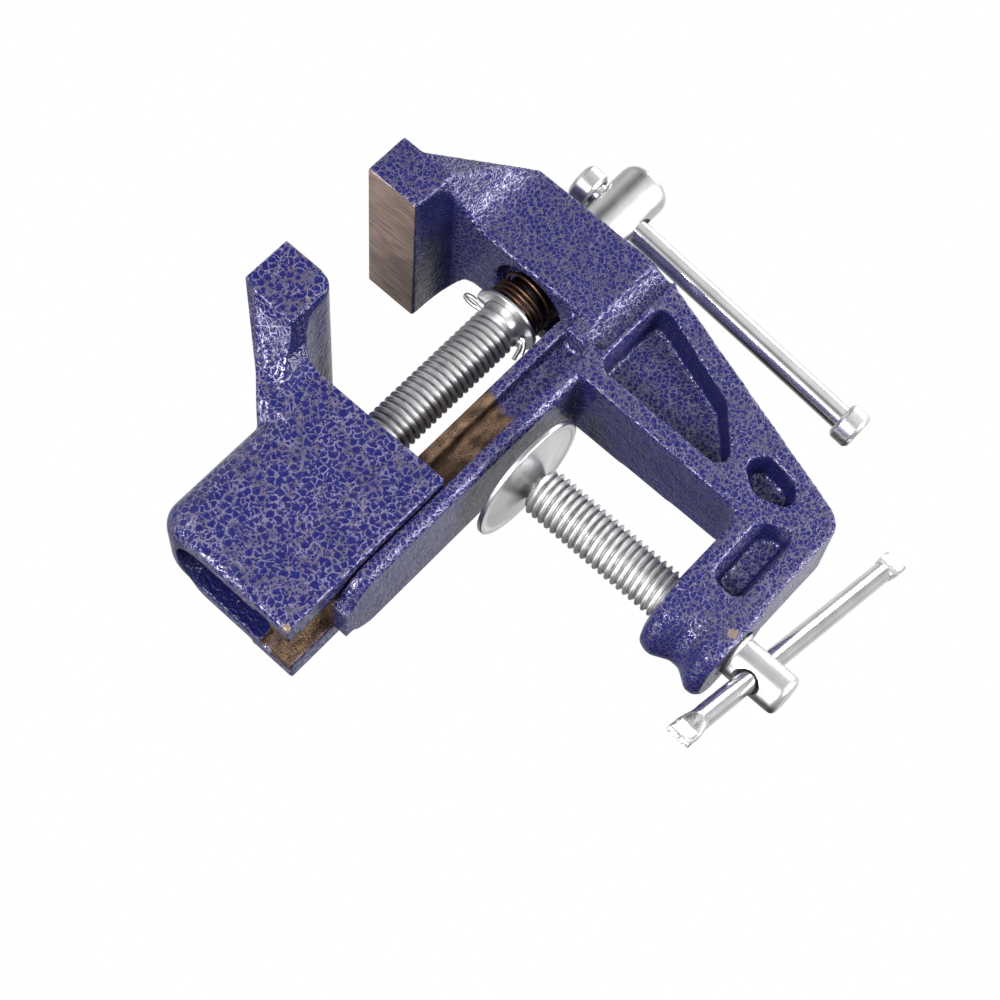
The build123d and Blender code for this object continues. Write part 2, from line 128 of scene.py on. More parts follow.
class VISE_PG_castings(PropertyGroup):
    """Hammer enamel and the cast surface under it."""
    frame_grain: length("Frame remesh size", "Facet size that the frame is rebuilt from", 0.64)
    jaw_grain: length("Jaw remesh size", "Facet size that the sliding jaw is rebuilt from", 0.50)
    passes: IntProperty(name="Rounding passes", description="How far edges are rounded", default=4)
    blue: colour("Enamel", "Deep colour in the cells of the hammer finish", (0.011, 0.012, 0.100))
    vein: colour("Vein", "Grey metallic colour between the cells", (0.113, 0.102, 0.178))
    frame_cell: length("Frame cell", "Size of the hammer cells on the frame", 1.35)
    jaw_cell: length("Sliding jaw cell", "Size of the hammer cells on the sliding jaw", 1.95)
    relief: length("Relief", "Depth of the hammer cells", 0.16)
    iron: colour("Bare iron", "Bare cast iron in the slots", (0.150, 0.095, 0.062))
    ground: colour("Ground face", "Machined gripping faces", (0.400, 0.300, 0.262))


class VISE_PG_screws(PropertyGroup):
    """Both screws."""
    pitch: length("Pitch", "Distance from one thread to the next", 2.0)
    major: length("Major diameter", "Outside diameter of both threads", 13.4)
    depth: length("Thread depth", "Height of the thread", 1.12)
    plating: colour("Plating", "Bright plating on screws, bars and pad", (0.820, 0.825, 0.835))
    # Darker colour for the thread roots, and for the painted dark reflection on the spindle's shank
    root_and_shank_dark: colour("Groove", "Oil and dirt in the roots of the threads", (0.055, 0.045, 0.050))


class VISE_PG_spring(PropertyGroup):
    """Spring, washer and split pin."""
    wire: length("Wire", "Diameter of the spring's wire", 1.0)
    diameter: length("Spring diameter", "Mean diameter of the spring", 16.2)
    close_turns: IntProperty(name="Close turns", description="Turns against the washer", default=3)
    open_turns: IntProperty(name="Open turns", description="Turns in the counterbore", default=2)
    close_pitch: length("Close pitch", "Pitch of the close turns", 1.5)
    pin_wire: length("Pin wire", "Diameter of each leg of the split pin", 1.15)
    steel: colour("Spring steel", "Tempered brown of the spring", (0.095, 0.050, 0.030))


class VISE_PG_handle(PropertyGroup):
    """Sliding handle of the spindle."""
    diameter: length("Bar", "Diameter of the handle bar", 6.8)
    knob: length("Knob", "Diameter of the end caps", 10.8)
    knob_length: length("Knob length", "Length of the end caps", 6.2)
    bevel: length("Knob bevel", "Bevel on the rims of the end caps", 1.0)


class VISE_PG_clamp(PropertyGroup):
    """Pad and bar of the table clamp."""
    pad: length("Pad", "Diameter of the swivel pad", 36.2)
    pad_rim: length("Pad rim", "Thickness of the pad's rim", 1.4)
    bar: length("Bar", "Diameter of the clamp bar", 5.6)
    spade: length("Spade", "Width of the bar's hammered ends", 7.0)
    spade_thickness: length("Spade thickness", "Thickness of the hammered ends", 2.4)


class VISE_PG_stage(PropertyGroup):
    """Floor, lights and camera."""
    floor_drop: length("Floor", "Depth of the floor under the table face", 900)
    floor: colour("Floor colour", "Plain pale floor", (0.86, 0.86, 0.86))
    glow: power("Floor glow", "Light that the floor gives off", 0.35)
    key: power("Key light", "Power of the large soft light", 8.0)
    fill: power("Fill light", "Power of the second light", 7.0)
    rim: power("Rim light", "Power of the light behind", 2.0)
    ambient: power("Surround", "Brightness of the room", 0.80)
    lens: FloatProperty(name="Lens", description="Focal length", default=79.47, unit="CAMERA")


GROUPS = {
    "vise_castings": VISE_PG_castings,
    "vise_screws": VISE_PG_screws,
    "vise_spring": VISE_PG_spring,
    "vise_handle": VISE_PG_handle,
    "vise_clamp": VISE_PG_clamp,
    "vise_stage": VISE_PG_stage,
}


# ---- shader expressions ----
class Value:
    """A socket in a shader that Python's operators work on; each one adds a Math node."""

    def __init__(self, shader, socket):
        self.shader = shader
        self.socket = socket

    def math(self, operation, *values):
        """A Math node on sockets and numbers."""
        return self.shader.node("ShaderNodeMath", {"operation": operation}, dict(enumerate(values)))

    def __add__(self, other):
        return self.math("ADD", self, other)

    def __sub__(self, other):
        return self.math("SUBTRACT", self, other)

    def __rsub__(self, other):
        return self.math("SUBTRACT", other, self)

    def __mul__(self, other):
        return self.math("MULTIPLY", self, other)

    def __abs__(self):
        return self.math("ABSOLUTE", self)

    __radd__ = __add__
    __rmul__ = __mul__

    def most(self, other):
        """The larger of two values."""
        return self.math("MAXIMUM", self, other)

    def rise(self, low, high):
        """0 below low, 1 above high, and a smooth step between."""
        settings = {"interpolation_type": "SMOOTHSTEP"}
        values = {"Value": self, "From Min": low, "From Max": high, "To Min": 0.0, "To Max": 1.0}
        return self.shader.node("ShaderNodeMapRange", settings, values)


class Shader:
    """A node tree that materials and the room are written in."""

    def __init__(self, tree):
        self.tree = tree
        self.tree.nodes.clear()

    def node(self, kind, settings=None, values=None, out=0):
        """Adds a node: its settings first, then the values or links of its sockets."""
        made = self.tree.nodes.new(kind)
        for name, setting in (settings or {}).items():
            setattr(made, name, setting)
        for name, value in (values or {}).items():
            if isinstance(value, Value):
                self.tree.links.new(value.socket, made.inputs[name])
            else:
                made.inputs[name].default_value = value
        return None if out is None else Value(self, made.outputs[out])

    def mix(self, low, high, amount):
        """A colour between two colours."""
        low = low if isinstance(low, Value) else (*low, 1.0)
        high = high if isinstance(high, Value) else (*high, 1.0)
        settings = {"data_type": "RGBA", "clamp_factor": True}
        return self.node("ShaderNodeMix", settings, {0: amount, 6: low, 7: high}, out=2)

    def shades(self, tint, low, high, amount):
        """A colour between two brightnesses of one tint."""
        return self.mix(scaled(tint, low), scaled(tint, high), amount)

    def vector(self, operation, *values, out=0):
        """A Vector Math node; out is its Value output for a distance, length or dot product."""
        return self.node("ShaderNodeVectorMath", {"operation": operation}, dict(enumerate(values)), out)

    def place(self):
        """Place on the object in millimetres, in the part's own frame."""
        return self.stretched(self.node("ShaderNodeTexCoord", out="Object"), (1 / MM,) * 3)

    def facing(self, direction):
        """How far the surface faces a direction, from -1 to 1."""
        normal = self.node("ShaderNodeTexCoord", out="Normal")
        return self.vector("DOT_PRODUCT", normal, tuple(direction), out="Value")

    def part_of(self, vector, direction, origin=(0, 0, 0)):
        """Distance along a direction from an origin."""
        away = self.vector("SUBTRACT", vector, tuple(origin))
        return self.vector("DOT_PRODUCT", away, tuple(direction), out="Value")

    def noise(self, vector, scale, detail=2.0, roughness=0.5, out=0):
        """Cloudy noise with a scale in waves per millimetre."""
        values = {"Vector": vector, "Scale": scale, "Detail": detail, "Roughness": roughness}
        return self.node("ShaderNodeTexNoise", None, values, out)

    def blobs(self, vector, scale, least, spread, seam):
        """Round cells of uneven size: 1 inside them, and the distance to the cell's edge."""
        values = {"Vector": vector, "Scale": scale}
        edge = self.node("ShaderNodeTexVoronoi", {"feature": "DISTANCE_TO_EDGE"}, values, "Distance")
        away = self.node("ShaderNodeTexVoronoi", None, values, "Distance")
        lot = self.split(self.node("ShaderNodeTexVoronoi", None, values, "Color"))[0]
        reach = least + lot * spread
        inside = (1 - away.rise(reach - 0.05, reach + 0.04)) * edge.rise(seam, seam + 0.06)
        return inside, edge

    def stretched(self, vector, scale):
        """A vector stretched by a scale along each axis."""
        return self.vector("MULTIPLY", vector, tuple(scale))

    def bump(self, height, distance):
        """Surface relief; height in shares of distance, which is in millimetres."""
        return self.node("ShaderNodeBump", None, {"Height": height, "Distance": distance * MM})

    def turned_x(self, vector, angle):
        """A vector turned about X by so many degrees."""
        settings = {"rotation_type": "X_AXIS"}
        values = {"Vector": vector, "Angle": radians(angle)}
        return self.node("ShaderNodeVectorRotate", settings, values)

    def split(self, vector):
        """The three parts of a vector."""
        first = self.node("ShaderNodeSeparateXYZ", None, {0: vector})
        return [Value(self, part) for part in first.socket.node.outputs]

    def joined(self, *parts):
        """A vector from three values."""
        return self.node("ShaderNodeCombineXYZ", None, dict(enumerate(parts)))


def new_material(name):
    """A material, its empty tree and the place on the object in it."""
    material = bpy.data.materials.new(name)
    material.use_nodes = True
    s = Shader(material.node_tree)
    return material, s, s.place()


def finish_material(shader, **sockets):
    """Ends a material in the Principled shader; a socket's name has underscores for its spaces."""
    values = {name.replace("_", " "): value for name, value in sockets.items()}
    end = shader.node("ShaderNodeBsdfPrincipled", None, values)
    shader.node("ShaderNodeOutputMaterial", None, {"Surface": end}, out=None)


# ---- finishes ----
def scaled(tint, factor):
    """A colour made lighter or darker."""
    return tuple(min(part * factor, 1.0) for part in tint)


def slab(value, low, high, soft=0.15):
    """1 between two limits and 0 outside them."""
    return value.rise(low - soft, low + soft) * (1 - value.rise(high - soft, high + soft))


def enamel(name, cell, vein_and_glint_lightness, casting, bare, ground, calm_painted_shade, chips):
    """Hammer enamel: deep blue cells, sunk between raised grey metallic veins.

    cell is a cell's width in millimetres, and the second number how light the narrow veins and the
    painted highlights on convex edges are. bare, ground and the calm mask take the shader and return
    where there is bare iron, a machined face, or a smooth, mostly blue coat that painted shade darkens
    in hollows and under overhangs. chips are (centre, radius).
    """
    material, s, place = new_material(name)
    speckle = s.noise(place, 3.2, 3.0)
    calm_shade = calm_painted_shade(s)

    bend = 0.55 * cell
    bent = s.vector("MULTIPLY_ADD", s.noise(place, 1.2 / cell, 2.0, out=1), (bend,) * 3, place)
    wide = s.noise(place, 0.13, 2.0).rise(0.40, 0.64) * (1 - calm_shade)
    large, edge = s.blobs(bent, 1 / cell, 0.45 - wide * 0.14 + calm_shade * 0.25, 0.26, 0.04)
    small, _ = s.blobs(bent, 2.1 / cell, 0.36 - wide * 0.06, 0.30, 0.07)
    blue = large.most(small)

    shade = s.noise(place, 0.5, 2.0)
    deep = s.shades(casting.blue, 0.65, 1.35, shade)
    narrow_vein_and_edge_glint = (1 - edge.rise(0.03, 0.10)) * (1 - wide * 0.7)
    vein = s.shades(casting.vein, 0.60, 1.10, speckle)
    # Painted highlight: convex edges, found by pointiness, get the light vein colour like glints.
    rim = s.node("ShaderNodeNewGeometry", out="Pointiness").rise(0.508, 0.545)
    narrow_vein_and_edge_glint = narrow_vein_and_edge_glint.most(rim * 0.8)
    vein = s.mix(vein, scaled(casting.vein, vein_and_glint_lightness), narrow_vein_and_edge_glint)
    # Painted shade: the veins are darkened in calm places, the pocket walls, hollows and overhangs.
    vein = s.mix(vein, scaled(casting.vein, 0.5), calm_shade)
    coat = s.mix(vein, deep, blue)
    # Painted shade: there the whole coat turns a darker blue.
    coat = s.mix(coat, scaled(casting.blue, 0.55), calm_shade.rise(0.75, 1.0) * 0.75)

    iron_grain = s.noise(s.stretched(place, (0.5, 1.0, 1.0)), 0.35, 3.0) * 0.6 + speckle * 0.4
    iron = s.shades(casting.iron, 0.30, 1.5, iron_grain.rise(0.38, 0.62))
    strokes = s.noise(s.stretched(s.turned_x(place, 4.0), (1.0, 2.6, 0.10)), 1.0, 5.0, 0.7)
    strokes = strokes.rise(0.38, 0.62) * 0.75 + s.noise(place, 0.06, 2.0).rise(0.3, 0.7) * 0.25
    steel = s.shades(casting.ground, 0.40, 1.9, strokes)

    is_chip = 0.0
    ragged = s.noise(place, 0.9, 3.0)
    for centre, radius in chips:
        away = s.vector("DISTANCE", place, tuple(centre), out="Value")
        is_chip = 1 - (away + ragged * 2.4).rise(radius, radius + 0.5) + is_chip
    chip_tint = s.mix((0.14, 0.09, 0.06), (0.40, 0.33, 0.28), speckle)

    is_iron = bare(s)
    is_ground = ground(s)
    tint = s.mix(coat, iron, is_iron)
    tint = s.mix(tint, steel, is_ground)
    tint = s.mix(tint, chip_tint, is_chip)
    painted = (1 - is_iron) * (1 - is_ground) * (1 - is_chip)
    rough = 0.10 + (1 - blue) * 0.10
    rough = painted * rough + is_iron * 0.42 + is_ground * (0.34 + strokes * 0.16) + is_chip * 0.5
    metallic = painted * (1 - blue) * 0.4 + is_iron * 0.8 + is_ground * 0.75 + is_chip * 0.6
    swell = s.noise(place, 0.22, 2.0) * 3.0
    relief = painted * (swell - edge.rise(0.0, 0.34) * 0.75 - small * 0.2 + speckle * 0.08)
    rough_iron = is_iron * s.noise(place, 1.7, 5.0, 0.65) * 2.6
    normal = s.bump(relief + rough_iron + is_ground * strokes * 0.12 - is_chip * 0.7,
                    casting.relief / MM)
    finish_material(s, Base_Color=tint, Roughness=rough, Metallic=metallic, Normal=normal,
                    IOR=1.42)
    return material


def turned_steel(name, screws, origin, axis, lines=1.0, tint=1.0, rough=0.24, dark=None, dark_reflection_span=None):
    """Plated steel with turning lines round an axis; lines scales their depth.

    The thread is darker inside the first radius of dark, fading out by the second. A (start,
    end) given last marks a length along the axis painted darker and glossier: a painted dark
    reflection. tint makes one piece's plating lighter or darker than the others: painted light.
    """
    material, s, place = new_material(name)
    along = s.part_of(place, axis, origin)
    foot = s.vector("MULTIPLY_ADD", s.joined(along, along, along), tuple(-a for a in axis),
                    s.vector("SUBTRACT", place, tuple(origin)))
    radius = s.vector("LENGTH", foot, out="Value")
    lathe = s.noise(s.joined(along + radius, 0.0, 0.0), 7.0, 4.0, 0.7)
    cloud = s.noise(place, 0.16, 3.0)
    spots = s.noise(place, 1.6, 4.0, 0.6)
    # tint scales the plating of this piece: painted light and shade for how brightly it is lit
    bright = s.shades(screws.plating, 0.72 * tint, 1.12 * tint, cloud)
    base = s.mix(bright, scaled(screws.plating, 0.42 * tint), spots.rise(0.60, 0.78) * 0.6)
    roughness = rough + cloud * 0.10 + lathe * 0.08
    # The thread is darker towards its roots.
    if dark:
        darkening = (1 - radius.rise(*dark)) * (0.35 + s.noise(place, 0.4, 3.0) * 0.8)
        base = s.mix(base, screws.root_and_shank_dark, darkening)
        roughness = roughness + darkening * 0.25
    # Painted dark reflection: a length of the shank is painted darker and glossier.
    if dark_reflection_span:
        dark_reflection = slab(along, *dark_reflection_span, 0.5)
        base = s.mix(base, scaled(screws.root_and_shank_dark, 1.6), dark_reflection * 0.9)
        roughness = roughness - dark_reflection * 0.08
    normal = s.bump(lathe, 0.02 * lines)
    finish_material(s, Base_Color=base, Roughness=roughness, Metallic=1.0, Normal=normal)
    return material


def drawn_steel(name, screws, axis, tint=0.95, rough=0.13, hammered=None):
    """Plated bar with fine lines along an axis; tint scales one piece's plating as painted light.

    hammered is (origin, near, far): there are hammer marks beyond near and far, from the origin.
    """
    material, s, place = new_material(name)
    along = s.part_of(place, axis)
    lines = s.vector("MULTIPLY_ADD", s.joined(along, along, along),
                     tuple(-0.97 * a for a in axis), place)
    drawn = s.noise(lines, 5.0, 4.0, 0.65)
    cloud = s.noise(place, 0.12, 3.0)
    spots = s.noise(place, 1.3, 4.0, 0.6)
    # tint scales the plating of this piece: painted light and shade for how brightly it is lit
    bright = s.shades(screws.plating, 0.70 * tint, 1.15 * tint, cloud)
    base = s.mix(bright, scaled(screws.plating, 0.35 * tint), spots.rise(0.62, 0.80) * 0.7)
    height = drawn * 0.5 + spots * 0.1
    roughness = rough + drawn * 0.08 + cloud * 0.06
    if hammered:
        origin, near, far = hammered
        out = s.part_of(place, axis, origin)
        ends = out.rise(far, far + 1.5) + (1 - out.rise(near - 1.5, near))
        blows = s.noise(place, 0.42, 2.0)
        height = height + ends * blows * 55.0
        roughness = roughness + ends * 0.06
    normal = s.bump(height, 0.006)
    finish_material(s, Base_Color=base, Roughness=roughness, Metallic=1.0, Normal=normal)
    return material


def spring_steel(name, spring):
    """Tempered wire, copper brown to nearly black."""
    material, s, place = new_material(name)
    cloud = s.noise(place, 0.5, 3.0)
    grain = s.noise(place, 4.0, 3.0)
    base = s.shades(spring.steel, 0.35, 2.4, cloud)
    rough = 0.26 + grain * 0.16
    finish_material(s, Base_Color=base, Roughness=rough, Metallic=0.95, Normal=s.bump(grain, 0.02))
    return material


def floor_paint(name, stage):
    """Matt pale floor."""
    material, s, place = new_material(name)
    grain = s.noise(place, 0.02, 3.0)
    base = s.shades(stage.floor, 0.985, 1.015, grain)
    finish_material(s, Base_Color=base, Roughness=0.75 + grain * 0.1, Metallic=0.0,
                    Emission_Color=base, Emission_Strength=stage.glow)
    return material


# ---- meshes, all in millimetres ----
def square_axes(direction):
    """Three directions square to each other, the last one along a direction."""
    w = Vector(direction).normalized()
    helper = Vector((0, 1, 0)) if abs(w.y) < 0.9 else Vector((1, 0, 0))
    u = helper.cross(w).normalized()
    return u, w.cross(u), w


def link_mesh(name, bm, scale=MM):
    """An object from a mesh that was made in millimetres."""
    bmesh.ops.recalc_face_normals(bm, faces=bm.faces)
    bmesh.ops.scale(bm, vec=(scale, scale, scale), verts=bm.verts)
    mesh = bpy.data.meshes.new(name)
    bm.to_mesh(mesh)
    bm.free()
    made = bpy.data.objects.new(name, mesh)
    bpy.context.scene.collection.objects.link(made)
    return made


def skin(name, rings, closed=False):
    """An object with faces between rings of points; a ring of one point is a tip."""
    bm = bmesh.new()
    rows = [[bm.verts.new(point) for point in ring] for ring in rings]
    pairs = list(zip(rows, rows[1:]))
    if closed:
        pairs.append((rows[-1], rows[0]))
    for first, second in pairs:
        count = max(len(first), len(second))
        for k in range(count):
            n = (k + 1) % count
            if len(first) == 1:
                bm.faces.new((first[0], second[n], second[k]))
            elif len(second) == 1:
                bm.faces.new((first[k], first[n], second[0]))
            else:
                bm.faces.new((first[k], first[n], second[n], second[k]))
    return link_mesh(name, bm)


def softened(outline, steps=4):
    """An outline of (along, radius, bend) with each corner rounded by its bend."""
    corners = [Vector((along, radius)) for along, radius, bend in outline]
    points = [corners[0]]
    for before, corner, after, row in zip(corners, corners[1:], corners[2:], outline[1:]):
        back = (before - corner).normalized() * row[2]
        on = (after - corner).normalized() * row[2]
        count = steps if row[2] else 0
        for k in range(count + 1):
            t = k / count if count else 0
            points.append(corner + back * (1 - t) ** 2 + on * t ** 2)
    points.append(corners[-1])
    return points


def turned(name, outline, origin, axis, columns=96, closed=False):
    """A lathe-turned object from an outline of (along, radius, bend)."""
    u, v, w = square_axes(axis)
    origin = Vector(origin)
    rings = []
    for along, radius in softened(outline):
        centre = origin + w * along
        if radius < 0.001:
            rings.append([centre])
            continue
        turns = [2 * pi * k / columns for k in range(columns)]
        rings.append([centre + u * radius * cos(a) + v * radius * sin(a) for a in turns])
    return skin(name, rings, closed)


def threaded(name, origin, axis, start, end, screws, columns=84):
    """A right-handed 60 degree thread whose rows of points run along the helix."""
    bm = bmesh.new()
    pitch = screws.pitch / MM
    crest = screws.major / MM / 2
    root = crest - screws.depth / MM
    half_crest = pitch / 16
    flank = (crest - root) / 1.732  # width of a flank that leans 30 degrees
    # across half a thread: its middle, both sides of the crest's and the root's edge, and the root
    marks = [0, half_crest - 0.02, half_crest + 0.03, half_crest + flank - 0.04,
             half_crest + flank + 0.03, pitch / 2]
    stations = marks + [pitch - mark for mark in reversed(marks[1:-1])]

    def height(along, turn):
        away = abs((along / pitch - turn + 0.5) % 1 - 0.5) * pitch
        radius = crest - max(0, min(1, (away - half_crest) / flank)) * (crest - root)
        bevel = root - 0.2 + min(along - start, end - along)
        return min(radius, bevel)

    u, v, w = square_axes(axis)
    origin = Vector(origin)
    first = int(start / pitch) - 2
    last = ceil(end / pitch) + 1
    rows = []
    for lead in range(first, last):
        for station in stations:
            row = []
            for k in range(columns):
                turn = k / columns
                along = max(start, min(end, (lead + turn) * pitch + station))
                radius = height(along, turn)
                angle = 2 * pi * turn
                point = origin + w * along + (u * cos(angle) + v * sin(angle)) * radius
                row.append(bm.verts.new(point))
            rows.append(row)
    count = len(stations)
    for index, (low, high) in enumerate(zip(rows, rows[1:])):
        for k in range(columns - 1):
            bm.faces.new((low[k], low[k + 1], high[k + 1], high[k]))
        if index + 1 + count < len(rows):
            near, far = rows[index + count], rows[index + count + 1]
            bm.faces.new((low[-1], near[0], far[0], high[-1]))
    bmesh.ops.remove_doubles(bm, verts=bm.verts, dist=0.0005)
    open_edges = [edge for edge in bm.edges if edge.is_boundary]
    bmesh.ops.holes_fill(bm, edges=open_edges, sides=0)
    return link_mesh(name, bm)


def smooth_path(points, steps=6):
    """A Catmull-Rom curve through points."""
    points = [Vector(point) for point in points]
    points = [points[0] * 2 - points[1]] + points + [points[-1] * 2 - points[-2]]
    path = []
    for a, b, c, d in zip(points, points[1:], points[2:], points[3:]):
        for k in range(steps):
            t = k / steps
            path.append((b * 2 + (c - a) * t + (a * 2 - b * 5 + c * 4 - d) * t ** 2
                         + (b * 3 - a - c * 3 + d) * t ** 3) / 2)
    return path + [points[-2]]


def wire(name, path, radius, sides=14):
    """A round wire along a path, with closed ends."""
    rings = []
    u = square_axes((path[1] - path[0]).normalized())[0]
    for index, point in enumerate(path):
        before = path[max(index - 1, 0)]
        after = path[min(index + 1, len(path) - 1)]
        w = (after - before).normalized()
        u = (u - w * u.dot(w)).normalized()
        v = w.cross(u)
        turns = [2 * pi * k / sides for k in range(sides)]
        rings.append([point + (u * cos(a) + v * sin(a)) * radius for a in turns])
    return skin(name, [[path[0]]] + rings + [[path[-1]]])


def apply_modifiers(piece):
    """Makes a piece's modifiers part of its mesh."""
    bpy.context.view_layer.update()
    graph = bpy.context.evaluated_depsgraph_get()
    mesh = bpy.data.meshes.new_from_object(piece.evaluated_get(graph))
    piece.modifiers.clear()
    piece.data = mesh


def dress(piece, body, slot, material, *nodes, sharp=38.0):
    """Gives a piece its finish, its body and the solids that it stands for."""
    piece.data.shade_smooth()
    piece.data.set_sharp_from_angle(angle=radians(sharp))
    piece.data.materials.clear()
    piece.data.materials.append(material)
    level = piece.modifiers.new("even shading", "WEIGHTED_NORMAL")
    level.keep_sharp = True
    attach(piece, body)
    if nodes:
        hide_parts(*nodes)


def cross_bore(*steps):
    """A drill's outline, alike at both ends; steps are (out, radius) from its middle."""
    half = [(out, radius, 0) for out, radius in steps]
    half.append((DRILL_REACH, 0, 0))
    return [(-out, radius, bend) for out, radius, bend in reversed(half)] + half


def drill(piece, outline, origin, axis, columns=64):
    """Cuts a turned form out of a piece."""
    tool = turned(piece.name + "_drill", outline, origin, axis, columns)
    cut = piece.modifiers.new("drill", "BOOLEAN")
    cut.operation = "DIFFERENCE"
    cut.solver = "EXACT"
    cut.object = tool
    apply_modifiers(piece)
    bpy.data.objects.remove(tool)


def rounded_casting(name, node, grain, passes, flats):
    """A casting's solid with the soft edges of a sand mould, and flat machined planes.

    grain is the facet size and passes how far edges are rounded. A flat is (axis index,
    place, test): points near the plane that pass the test are pressed onto it.
    """
    catch = 0.5  # how near is near, in millimetres
    bm = bmesh.new()
    bm.from_mesh(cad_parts[node].data)
    bmesh.ops.remove_doubles(bm, verts=bm.verts, dist=0.001 * MM)
    piece = link_mesh(name, bm, 1.0)
    blocks = piece.modifiers.new("blocks", "REMESH")
    blocks.mode = "VOXEL"
    blocks.voxel_size = grain
    rounding = piece.modifiers.new("rounding", "SMOOTH")
    rounding.factor = 0.5
    rounding.iterations = passes
    apply_modifiers(piece)
    for axis, level, test in flats:
        for vertex in piece.data.vertices:
            point = vertex.co / MM
            if abs(point[axis] - level) < catch and test(point):
                vertex.co[axis] = level * MM
    return piece


def squared_rear(piece):
    """Draws the sliding body's rounded upright rear edges out to nearly square corners.

    Each quarter circle becomes a quarter of a superellipse; its power of 2 is the circle.
    """
    foot = STEP_Z - 0.4
    fade = 7.0  # height under the shoulders over which the corners become square
    squarest = 10
    for vertex in piece.data.vertices:
        x, y, z = vertex.co / MM
        back = BODY_REAR + REAR_ROUND - x
        out = abs(y) - (BODY_HALF - REAR_ROUND)
        if back <= 0 or out <= 0 or z < foot or z > SHOULDER_Z:
            continue
        down = min((SHOULDER_Z - z) / fade, 1.0)
        power = 2 + (squarest - 2) * down ** 2 * (3 - 2 * down)
        grow = hypot(back, out) / (back ** power + out ** power) ** (1 / power)
        vertex.co.x = (BODY_REAR + REAR_ROUND - min(back * grow, REAR_ROUND)) * MM
        half = BODY_HALF - REAR_ROUND + min(out * grow, REAR_ROUND)
        vertex.co.y = (half if y > 0 else -half) * MM


def crisp_step(piece):
    """Presses the sliding body's sides flat above and below their step, right up to it."""
    rear, front = BODY_REAR + 1.5, BODY_FRONT - 0.8
    band = 1.6  # height that is pressed, above the step and below it
    catch = 0.9  # how near to the side a point is that belongs to it
    for vertex in piece.data.vertices:
        x, y, z = vertex.co / MM
        if rear < x < front and abs(z - STEP_Z) < band and abs(abs(y) - BODY_HALF) < catch:
            half = BODY_HALF + (STEP_DEPTH if z < STEP_Z else 0)
            vertex.co.y = (half if y > 0 else -half) * MM


# ---- where each finish is ----
def frame_bare(s):
    """The rail and its slots, bare up to where the sliding jaw stops."""
    x, _, z = s.split(s.place())
    ragged = s.noise(s.place(), 0.5, 2.0) * 2.0
    return (1 - (x + ragged).rise(6.5, 9.0)) * z.rise(4.1, 4.6)


def frame_ground(s):
    """The fixed jaw's gripping face."""
    x, _, z = s.split(s.place())
    foot = z.rise(JAW_FACE_FOOT + 0.3, JAW_FACE_FOOT + 0.7)
    return (1 - x.rise(JAW_FACE_X + 0.1, JAW_FACE_X + 0.3)) * foot


def frame_calm_painted_shade(s):
    """Pocket walls, the inner face of the C and the neck's slope under the fixed jaw: calmer coat,
    painted shade.
    """
    x, y, z = s.split(s.place())
    sideways = abs(s.facing((0, 1, 0)))
    inside = x.rise(31.5, 33.0) * (1 - (x - z * 0.286).rise(56.0, 58.0)) * (1 - z.rise(-2.0, -0.5))
    arm = slab(x, 8.0, 28.5, 0.6) * slab(z, -66.2, -58.6, 0.6) * (1 - abs(y).rise(10.9, 11.2))
    walls = inside.most(arm) * (1 - sideways.rise(0.55, 0.9))
    throat = (1 - x.rise(26.0, 28.0)) * (1 - z.rise(-1.0, 0.5)) * s.facing((-1, 0, 0)).rise(0.3, 0.7)
    neck = (1 - x.rise(36.0, 37.5)) * z.rise(33.0, 35.0) * s.facing((-0.7, 0, -0.7)).rise(0.3, 0.6)
    return walls.most(throat * 0.7).most(neck)


def jaw_bare(s):
    """Inside the slot that runs on the rail."""
    _, y, z = s.split(s.place())
    roof = z.rise(RAIL_TOP + 0.4, RAIL_TOP + 0.65)
    return (1 - abs(y).rise(11.6, 11.9)) * (1 - roof) * z.rise(4.9, 5.3)


def jaw_ground(s):
    """The sliding jaw's gripping face."""
    x, _, z = s.split(s.place())
    foot = z.rise(SLIDING_FACE_FOOT - 0.4, SLIDING_FACE_FOOT + 0.1)
    return x.rise(SLIDING_FACE_X - 0.3, SLIDING_FACE_X - 0.1) * foot


def jaw_calm_painted_shade(s):
    """Inside the hollow body and under the jaw's overhang: calmer coat, painted shade."""
    x, y, z = s.split(s.place())
    hollow = (1 - abs(y).rise(10.2, 10.6)) * (1 - z.rise(43.6, 44.2)) * (1 - x.rise(-38.2, -37.6))
    under = z.rise(46.0, 48.0) * s.facing((0, 0, -1)).rise(0.25, 0.6)
    return hollow.most(under)


# ---- pieces ----
def make_frame(casting):
    """The fixed casting: jaw, head, rail, C and boss."""
    rail_machined = 34  # the rail's top is machined up to here
    chips = [((-0.4, -11.4, -71.5), 2.2)]
    coat = enamel("frame_enamel", casting.frame_cell / MM, 1.5, casting,
                  frame_bare, frame_ground, frame_calm_painted_shade, chips)
    flats = [(0, JAW_FACE_X, lambda p: p.z > JAW_FACE_FOOT + 0.4 and p.x < JAW_FACE_X + 0.6),
             (2, RAIL_TOP, lambda p: p.z > RAIL_TOP - 0.4 and p.x < rail_machined)]
    piece = rounded_casting("frame_body", "frame_casting", casting.frame_grain, casting.passes, flats)
    dress(piece, "frame", "casting_enamel", coat, "frame_casting", sharp=60)


